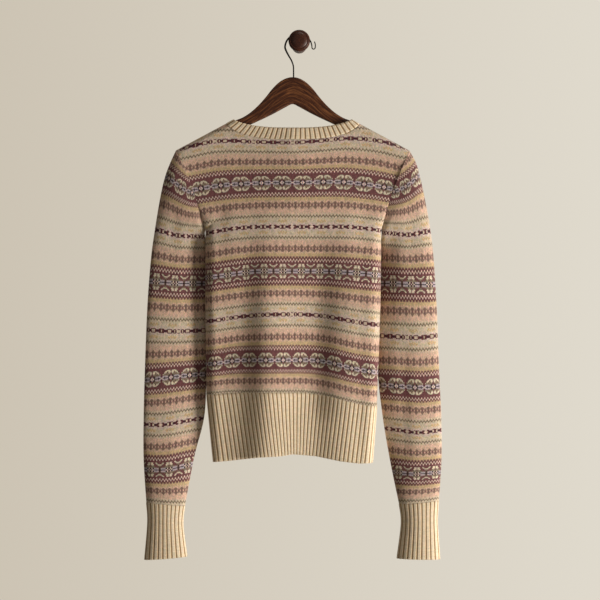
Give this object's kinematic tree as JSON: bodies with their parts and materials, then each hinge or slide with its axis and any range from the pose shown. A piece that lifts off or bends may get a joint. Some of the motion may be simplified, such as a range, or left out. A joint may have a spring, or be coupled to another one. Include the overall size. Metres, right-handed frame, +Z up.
{
  "type": "fair isle jumper on hanger",
  "caption": "Long-sleeved fair isle jumper with ribbed neck, hem and cuffs, hung by the hook of a wooden hanger on a turned wall peg.",
  "frame": {"origin": "middle of the peg's flat back face, on the wall it is fixed to", "axes": "+Y into the wall, +Z up, +X to the right of someone who looks at the jumper's back"},
  "size_m": [0.4946, 0.0752, 0.8748],
  "materials": {
    "fair_isle_knit": "fine wool stocking stitch in bands of maroon, tan, pink, cream and lavender, soft and slightly hairy",
    "pale_rib": "1 by 1 wool rib in undyed pale yarn, matt",
    "hanger_wood": "dark stained hardwood with a satin lacquer and light wear",
    "hook_wire": "blackened steel wire",
    "peg_wood": "dark turned hardwood, satin lacquer"
  },
  "bodies": {
    "root": {"back": "fair_isle_knit", "front": "fair_isle_knit", "sleeve_left": "fair_isle_knit", "sleeve_right": "fair_isle_knit", "hem_rib_back": "pale_rib", "hem_rib_front": "pale_rib", "cuff_left": "pale_rib", "cuff_right": "pale_rib", "neck_rib": "pale_rib", "hanger": "hanger_wood", "hook": "hook_wire", "peg": "peg_wood"}
  },
  "joints": []
}
